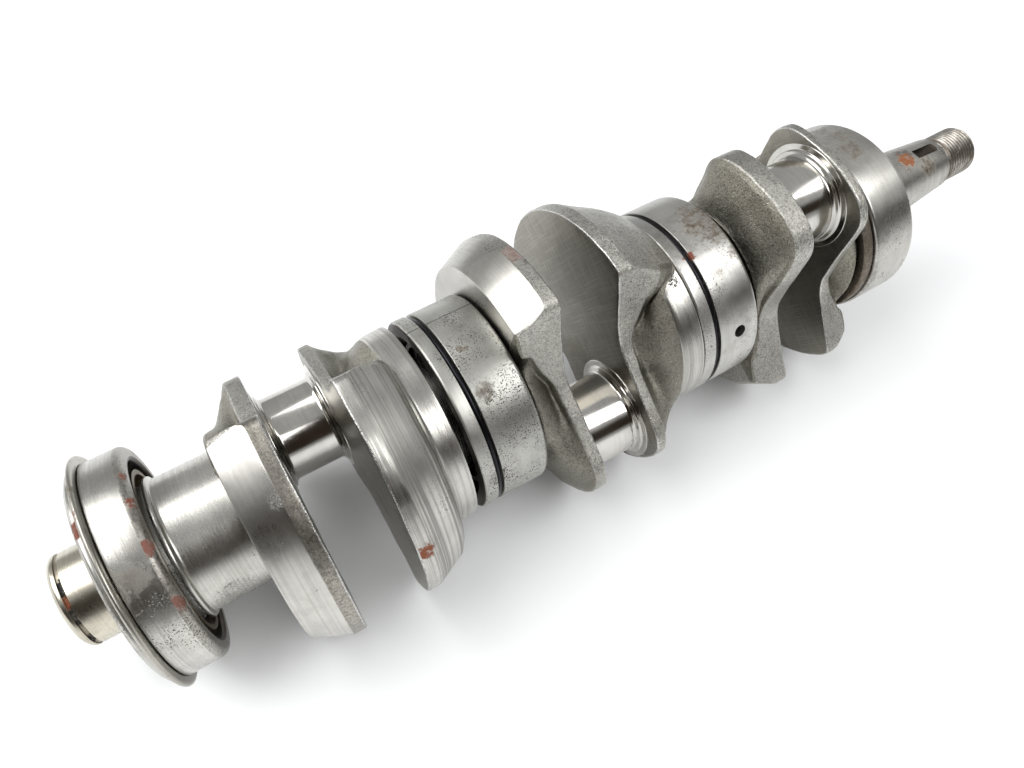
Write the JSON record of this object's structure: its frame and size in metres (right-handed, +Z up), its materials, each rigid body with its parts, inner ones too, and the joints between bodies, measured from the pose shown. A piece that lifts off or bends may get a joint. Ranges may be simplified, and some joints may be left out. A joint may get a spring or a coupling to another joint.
{
  "type": "two-stroke engine crankshaft with main bearings",
  "caption": "Multi-throw two-stroke engine crankshaft with counterweights, a flanged ball bearing, split centre roller bearings, an upper roller bearing and a tapered, threaded flywheel end.",
  "frame": {"origin": "on the crank axis at the flat end face of the drive stub", "axes": "+X along the crank axis towards the flywheel end, +Z up as the crankshaft lies in the reference view"},
  "size_m": [0.3801, 0.0999, 0.0999],
  "materials": {
    "forged_steel": "forged flanks, ground journals and faces, oily stains",
    "machined_steel": "ground bearing steel with light pitting",
    "blacked_spring_steel": "blacked spring steel",
    "cage_bronze": "dull bronze"
  },
  "bodies": {
    "crank": {"crankshaft": "forged_steel", "lower_inner_race": "machined_steel"},
    "lower_race": {"lower_outer_race": "machined_steel", "lower_locating_ring": "blacked_spring_steel"},
    "lower_cage": {"lower_cage": "cage_bronze"},
    "centre_1_ring": {"centre_1_retaining_ring": "blacked_spring_steel"},
    "centre_1_race": {"centre_1_race_half_a": "machined_steel", "centre_1_race_half_b": "machined_steel"},
    "centre_1_cage": {"centre_1_cage_half_a": "cage_bronze", "centre_1_cage_half_b": "cage_bronze"},
    "centre_2_ring": {"centre_2_retaining_ring": "blacked_spring_steel"},
    "centre_2_race": {"centre_2_race_half_a": "machined_steel", "centre_2_race_half_b": "machined_steel"},
    "centre_2_cage": {"centre_2_cage_half_a": "cage_bronze", "centre_2_cage_half_b": "cage_bronze"},
    "upper_race": {"upper_outer_race": "machined_steel"},
    "seal_ring": {"upper_seal_ring": "blacked_spring_steel"},
    "upper_cage": {"upper_cage": "cage_bronze"},
    "lower_ball_1": {"lower_ball_1": "machined_steel"},
    "lower_ball_2": {"lower_ball_2": "machined_steel"},
    "lower_ball_3": {"lower_ball_3": "machined_steel"},
    "lower_ball_4": {"lower_ball_4": "machined_steel"},
    "lower_ball_5": {"lower_ball_5": "machined_steel"},
    "lower_ball_6": {"lower_ball_6": "machined_steel"},
    "lower_ball_7": {"lower_ball_7": "machined_steel"},
    "lower_ball_8": {"lower_ball_8": "machined_steel"},
    "lower_ball_9": {"lower_ball_9": "machined_steel"},
    "centre_1_roller_1": {"centre_1_roller_1": "machined_steel"},
    "centre_1_roller_2": {"centre_1_roller_2": "machined_steel"},
    "centre_1_roller_3": {"centre_1_roller_3": "machined_steel"},
    "centre_1_roller_4": {"centre_1_roller_4": "machined_steel"},
    "centre_1_roller_5": {"centre_1_roller_5": "machined_steel"},
    "centre_1_roller_6": {"centre_1_roller_6": "machined_steel"},
    "centre_1_roller_7": {"centre_1_roller_7": "machined_steel"},
    "centre_1_roller_8": {"centre_1_roller_8": "machined_steel"},
    "centre_1_roller_9": {"centre_1_roller_9": "machined_steel"},
    "centre_1_roller_10": {"centre_1_roller_10": "machined_steel"},
    "centre_2_roller_1": {"centre_2_roller_1": "machined_steel"},
    "centre_2_roller_2": {"centre_2_roller_2": "machined_steel"},
    "centre_2_roller_3": {"centre_2_roller_3": "machined_steel"},
    "centre_2_roller_4": {"centre_2_roller_4": "machined_steel"},
    "centre_2_roller_5": {"centre_2_roller_5": "machined_steel"},
    "centre_2_roller_6": {"centre_2_roller_6": "machined_steel"},
    "centre_2_roller_7": {"centre_2_roller_7": "machined_steel"},
    "centre_2_roller_8": {"centre_2_roller_8": "machined_steel"},
    "centre_2_roller_9": {"centre_2_roller_9": "machined_steel"},
    "centre_2_roller_10": {"centre_2_roller_10": "machined_steel"},
    "upper_roller_1": {"upper_roller_1": "machined_steel"},
    "upper_roller_2": {"upper_roller_2": "machined_steel"},
    "upper_roller_3": {"upper_roller_3": "machined_steel"},
    "upper_roller_4": {"upper_roller_4": "machined_steel"},
    "upper_roller_5": {"upper_roller_5": "machined_steel"},
    "upper_roller_6": {"upper_roller_6": "machined_steel"},
    "upper_roller_7": {"upper_roller_7": "machined_steel"},
    "upper_roller_8": {"upper_roller_8": "machined_steel"},
    "upper_roller_9": {"upper_roller_9": "machined_steel"},
    "upper_roller_10": {"upper_roller_10": "machined_steel"},
    "upper_roller_11": {"upper_roller_11": "machined_steel"}
  },
  "joints": [
    {"name": "lower_race_spin", "type": "hinge", "parent": "crank", "child": "lower_race", "pos_m": [0.0245, 0, 0], "axis": [1, 0, 0], "continuous": true},
    {"name": "lower_cage_spin", "type": "hinge", "parent": "crank", "child": "lower_cage", "pos_m": [0.0245, 0, 0], "axis": [1, 0, 0], "continuous": true},
    {"name": "centre_1_float", "type": "slide", "parent": "crank", "child": "centre_1_ring", "axis": [1, 0, 0], "range_m": [-0.003, 0.0004]},
    {"name": "centre_1_race_spin", "type": "hinge", "parent": "centre_1_ring", "child": "centre_1_race", "pos_m": [0.135, 0, 0], "axis": [1, 0, 0], "continuous": true},
    {"name": "centre_1_cage_spin", "type": "hinge", "parent": "crank", "child": "centre_1_cage", "pos_m": [0.135, 0, 0], "axis": [1, 0, 0], "continuous": true},
    {"name": "centre_2_float", "type": "slide", "parent": "crank", "child": "centre_2_ring", "axis": [1, 0, 0], "range_m": [-0.0001, 0.0033]},
    {"name": "centre_2_race_spin", "type": "hinge", "parent": "centre_2_ring", "child": "centre_2_race", "pos_m": [0.2237, 0, 0], "axis": [1, 0, 0], "continuous": true},
    {"name": "centre_2_cage_spin", "type": "hinge", "parent": "crank", "child": "centre_2_cage", "pos_m": [0.2237, 0, 0], "axis": [1, 0, 0], "continuous": true},
    {"name": "upper_race_spin", "type": "hinge", "parent": "crank", "child": "upper_race", "pos_m": [0.3023, 0, 0], "axis": [1, 0, 0], "continuous": true},
    {"name": "upper_cage_spin", "type": "hinge", "parent": "crank", "child": "upper_cage", "pos_m": [0.3023, 0, 0], "axis": [1, 0, 0], "continuous": true},
    {"name": "seal_ring_spin", "type": "hinge", "parent": "crank", "child": "seal_ring", "pos_m": [0.2903, 0, 0], "axis": [1, 0, 0], "continuous": true},
    {"name": "lower_ball_1_spin", "type": "hinge", "parent": "lower_cage", "child": "lower_ball_1", "pos_m": [0.0245, 0.0268, 0], "axis": [1, 0, 0], "continuous": true},
    {"name": "lower_ball_2_spin", "type": "hinge", "parent": "lower_cage", "child": "lower_ball_2", "pos_m": [0.0245, 0.02053, 0.01723], "axis": [1, 0, 0], "continuous": true},
    {"name": "lower_ball_3_spin", "type": "hinge", "parent": "lower_cage", "child": "lower_ball_3", "pos_m": [0.0245, 0.00465, 0.02639], "axis": [1, 0, 0], "continuous": true},
    {"name": "lower_ball_4_spin", "type": "hinge", "parent": "lower_cage", "child": "lower_ball_4", "pos_m": [0.0245, -0.0134, 0.02321], "axis": [1, 0, 0], "continuous": true},
    {"name": "lower_ball_5_spin", "type": "hinge", "parent": "lower_cage", "child": "lower_ball_5", "pos_m": [0.0245, -0.02518, 0.00917], "axis": [1, 0, 0], "continuous": true},
    {"name": "lower_ball_6_spin", "type": "hinge", "parent": "lower_cage", "child": "lower_ball_6", "pos_m": [0.0245, -0.02518, -0.00917], "axis": [1, 0, 0], "continuous": true},
    {"name": "lower_ball_7_spin", "type": "hinge", "parent": "lower_cage", "child": "lower_ball_7", "pos_m": [0.0245, -0.0134, -0.02321], "axis": [1, 0, 0], "continuous": true},
    {"name": "lower_ball_8_spin", "type": "hinge", "parent": "lower_cage", "child": "lower_ball_8", "pos_m": [0.0245, 0.00465, -0.02639], "axis": [1, 0, 0], "continuous": true},
    {"name": "lower_ball_9_spin", "type": "hinge", "parent": "lower_cage", "child": "lower_ball_9", "pos_m": [0.0245, 0.02053, -0.01723], "axis": [1, 0, 0], "continuous": true},
    {"name": "centre_1_roller_1_spin", "type": "hinge", "parent": "centre_1_cage", "child": "centre_1_roller_1", "pos_m": [0.135, 0.02425, 0.00788], "axis": [1, 0, 0], "continuous": true},
    {"name": "centre_1_roller_2_spin", "type": "hinge", "parent": "centre_1_cage", "child": "centre_1_roller_2", "pos_m": [0.135, 0.01499, 0.02063], "axis": [1, 0, 0], "continuous": true},
    {"name": "centre_1_roller_3_spin", "type": "hinge", "parent": "centre_1_cage", "child": "centre_1_roller_3", "pos_m": [0.135, 0, 0.0255], "axis": [1, 0, 0], "continuous": true},
    {"name": "centre_1_roller_4_spin", "type": "hinge", "parent": "centre_1_cage", "child": "centre_1_roller_4", "pos_m": [0.135, -0.01499, 0.02063], "axis": [1, 0, 0], "continuous": true},
    {"name": "centre_1_roller_5_spin", "type": "hinge", "parent": "centre_1_cage", "child": "centre_1_roller_5", "pos_m": [0.135, -0.02425, 0.00788], "axis": [1, 0, 0], "continuous": true},
    {"name": "centre_1_roller_6_spin", "type": "hinge", "parent": "centre_1_cage", "child": "centre_1_roller_6", "pos_m": [0.135, -0.02425, -0.00788], "axis": [1, 0, 0], "continuous": true},
    {"name": "centre_1_roller_7_spin", "type": "hinge", "parent": "centre_1_cage", "child": "centre_1_roller_7", "pos_m": [0.135, -0.01499, -0.02063], "axis": [1, 0, 0], "continuous": true},
    {"name": "centre_1_roller_8_spin", "type": "hinge", "parent": "centre_1_cage", "child": "centre_1_roller_8", "pos_m": [0.135, 0, -0.0255], "axis": [1, 0, 0], "continuous": true},
    {"name": "centre_1_roller_9_spin", "type": "hinge", "parent": "centre_1_cage", "child": "centre_1_roller_9", "pos_m": [0.135, 0.01499, -0.02063], "axis": [1, 0, 0], "continuous": true},
    {"name": "centre_1_roller_10_spin", "type": "hinge", "parent": "centre_1_cage", "child": "centre_1_roller_10", "pos_m": [0.135, 0.02425, -0.00788], "axis": [1, 0, 0], "continuous": true},
    {"name": "centre_2_roller_1_spin", "type": "hinge", "parent": "centre_2_cage", "child": "centre_2_roller_1", "pos_m": [0.2237, 0.02425, 0.00788], "axis": [1, 0, 0], "continuous": true},
    {"name": "centre_2_roller_2_spin", "type": "hinge", "parent": "centre_2_cage", "child": "centre_2_roller_2", "pos_m": [0.2237, 0.01499, 0.02063], "axis": [1, 0, 0], "continuous": true},
    {"name": "centre_2_roller_3_spin", "type": "hinge", "parent": "centre_2_cage", "child": "centre_2_roller_3", "pos_m": [0.2237, 0, 0.0255], "axis": [1, 0, 0], "continuous": true},
    {"name": "centre_2_roller_4_spin", "type": "hinge", "parent": "centre_2_cage", "child": "centre_2_roller_4", "pos_m": [0.2237, -0.01499, 0.02063], "axis": [1, 0, 0], "continuous": true},
    {"name": "centre_2_roller_5_spin", "type": "hinge", "parent": "centre_2_cage", "child": "centre_2_roller_5", "pos_m": [0.2237, -0.02425, 0.00788], "axis": [1, 0, 0], "continuous": true},
    {"name": "centre_2_roller_6_spin", "type": "hinge", "parent": "centre_2_cage", "child": "centre_2_roller_6", "pos_m": [0.2237, -0.02425, -0.00788], "axis": [1, 0, 0], "continuous": true},
    {"name": "centre_2_roller_7_spin", "type": "hinge", "parent": "centre_2_cage", "child": "centre_2_roller_7", "pos_m": [0.2237, -0.01499, -0.02063], "axis": [1, 0, 0], "continuous": true},
    {"name": "centre_2_roller_8_spin", "type": "hinge", "parent": "centre_2_cage", "child": "centre_2_roller_8", "pos_m": [0.2237, 0, -0.0255], "axis": [1, 0, 0], "continuous": true},
    {"name": "centre_2_roller_9_spin", "type": "hinge", "parent": "centre_2_cage", "child": "centre_2_roller_9", "pos_m": [0.2237, 0.01499, -0.02063], "axis": [1, 0, 0], "continuous": true},
    {"name": "centre_2_roller_10_spin", "type": "hinge", "parent": "centre_2_cage", "child": "centre_2_roller_10", "pos_m": [0.2237, 0.02425, -0.00788], "axis": [1, 0, 0], "continuous": true},
    {"name": "upper_roller_1_spin", "type": "hinge", "parent": "upper_cage", "child": "upper_roller_1", "pos_m": [0.3023, 0.02447, 0.00718], "axis": [1, 0, 0], "continuous": true},
    {"name": "upper_roller_2_spin", "type": "hinge", "parent": "upper_cage", "child": "upper_roller_2", "pos_m": [0.3023, 0.0167, 0.01927], "axis": [1, 0, 0], "continuous": true},
    {"name": "upper_roller_3_spin", "type": "hinge", "parent": "upper_cage", "child": "upper_roller_3", "pos_m": [0.3023, 0.00363, 0.02524], "axis": [1, 0, 0], "continuous": true},
    {"name": "upper_roller_4_spin", "type": "hinge", "parent": "upper_cage", "child": "upper_roller_4", "pos_m": [0.3023, -0.01059, 0.0232], "axis": [1, 0, 0], "continuous": true},
    {"name": "upper_roller_5_spin", "type": "hinge", "parent": "upper_cage", "child": "upper_roller_5", "pos_m": [0.3023, -0.02145, 0.01379], "axis": [1, 0, 0], "continuous": true},
    {"name": "upper_roller_6_spin", "type": "hinge", "parent": "upper_cage", "child": "upper_roller_6", "pos_m": [0.3023, -0.0255, 0], "axis": [1, 0, 0], "continuous": true},
    {"name": "upper_roller_7_spin", "type": "hinge", "parent": "upper_cage", "child": "upper_roller_7", "pos_m": [0.3023, -0.02145, -0.01379], "axis": [1, 0, 0], "continuous": true},
    {"name": "upper_roller_8_spin", "type": "hinge", "parent": "upper_cage", "child": "upper_roller_8", "pos_m": [0.3023, -0.01059, -0.0232], "axis": [1, 0, 0], "continuous": true},
    {"name": "upper_roller_9_spin", "type": "hinge", "parent": "upper_cage", "child": "upper_roller_9", "pos_m": [0.3023, 0.00363, -0.02524], "axis": [1, 0, 0], "continuous": true},
    {"name": "upper_roller_10_spin", "type": "hinge", "parent": "upper_cage", "child": "upper_roller_10", "pos_m": [0.3023, 0.0167, -0.01927], "axis": [1, 0, 0], "continuous": true},
    {"name": "upper_roller_11_spin", "type": "hinge", "parent": "upper_cage", "child": "upper_roller_11", "pos_m": [0.3023, 0.02447, -0.00718], "axis": [1, 0, 0], "continuous": true}
  ],
  "couplings": [
    {"joint": "lower_cage_spin", "follows": "lower_race_spin", "ratio": 0.6091},
    {"joint": "centre_1_cage_spin", "follows": "centre_1_race_spin", "ratio": 0.5882},
    {"joint": "centre_2_cage_spin", "follows": "centre_2_race_spin", "ratio": 0.5882},
    {"joint": "upper_cage_spin", "follows": "upper_race_spin", "ratio": 0.5882},
    {"joint": "lower_ball_1_spin", "follows": "lower_race_spin", "ratio": 2.1811},
    {"joint": "lower_ball_2_spin", "follows": "lower_race_spin", "ratio": 2.1811},
    {"joint": "lower_ball_3_spin", "follows": "lower_race_spin", "ratio": 2.1811},
    {"joint": "lower_ball_4_spin", "follows": "lower_race_spin", "ratio": 2.1811},
    {"joint": "lower_ball_5_spin", "follows": "lower_race_spin", "ratio": 2.1811},
    {"joint": "lower_ball_6_spin", "follows": "lower_race_spin", "ratio": 2.1811},
    {"joint": "lower_ball_7_spin", "follows": "lower_race_spin", "ratio": 2.1811},
    {"joint": "lower_ball_8_spin", "follows": "lower_race_spin", "ratio": 2.1811},
    {"joint": "lower_ball_9_spin", "follows": "lower_race_spin", "ratio": 2.1811},
    {"joint": "centre_1_roller_1_spin", "follows": "centre_1_race_spin", "ratio": 2.7451},
    {"joint": "centre_1_roller_2_spin", "follows": "centre_1_race_spin", "ratio": 2.7451},
    {"joint": "centre_1_roller_3_spin", "follows": "centre_1_race_spin", "ratio": 2.7451},
    {"joint": "centre_1_roller_4_spin", "follows": "centre_1_race_spin", "ratio": 2.7451},
    {"joint": "centre_1_roller_5_spin", "follows": "centre_1_race_spin", "ratio": 2.7451},
    {"joint": "centre_1_roller_6_spin", "follows": "centre_1_race_spin", "ratio": 2.7451},
    {"joint": "centre_1_roller_7_spin", "follows": "centre_1_race_spin", "ratio": 2.7451},
    {"joint": "centre_1_roller_8_spin", "follows": "centre_1_race_spin", "ratio": 2.7451},
    {"joint": "centre_1_roller_9_spin", "follows": "centre_1_race_spin", "ratio": 2.7451},
    {"joint": "centre_1_roller_10_spin", "follows": "centre_1_race_spin", "ratio": 2.7451},
    {"joint": "centre_2_roller_1_spin", "follows": "centre_2_race_spin", "ratio": 2.7451},
    {"joint": "centre_2_roller_2_spin", "follows": "centre_2_race_spin", "ratio": 2.7451},
    {"joint": "centre_2_roller_3_spin", "follows": "centre_2_race_spin", "ratio": 2.7451},
    {"joint": "centre_2_roller_4_spin", "follows": "centre_2_race_spin", "ratio": 2.7451},
    {"joint": "centre_2_roller_5_spin", "follows": "centre_2_race_spin", "ratio": 2.7451},
    {"joint": "centre_2_roller_6_spin", "follows": "centre_2_race_spin", "ratio": 2.7451},
    {"joint": "centre_2_roller_7_spin", "follows": "centre_2_race_spin", "ratio": 2.7451},
    {"joint": "centre_2_roller_8_spin", "follows": "centre_2_race_spin", "ratio": 2.7451},
    {"joint": "centre_2_roller_9_spin", "follows": "centre_2_race_spin", "ratio": 2.7451},
    {"joint": "centre_2_roller_10_spin", "follows": "centre_2_race_spin", "ratio": 2.7451},
    {"joint": "upper_roller_1_spin", "follows": "upper_race_spin", "ratio": 2.7451},
    {"joint": "upper_roller_2_spin", "follows": "upper_race_spin", "ratio": 2.7451},
    {"joint": "upper_roller_3_spin", "follows": "upper_race_spin", "ratio": 2.7451},
    {"joint": "upper_roller_4_spin", "follows": "upper_race_spin", "ratio": 2.7451},
    {"joint": "upper_roller_5_spin", "follows": "upper_race_spin", "ratio": 2.7451},
    {"joint": "upper_roller_6_spin", "follows": "upper_race_spin", "ratio": 2.7451},
    {"joint": "upper_roller_7_spin", "follows": "upper_race_spin", "ratio": 2.7451},
    {"joint": "upper_roller_8_spin", "follows": "upper_race_spin", "ratio": 2.7451},
    {"joint": "upper_roller_9_spin", "follows": "upper_race_spin", "ratio": 2.7451},
    {"joint": "upper_roller_10_spin", "follows": "upper_race_spin", "ratio": 2.7451},
    {"joint": "upper_roller_11_spin", "follows": "upper_race_spin", "ratio": 2.7451}
  ]
}
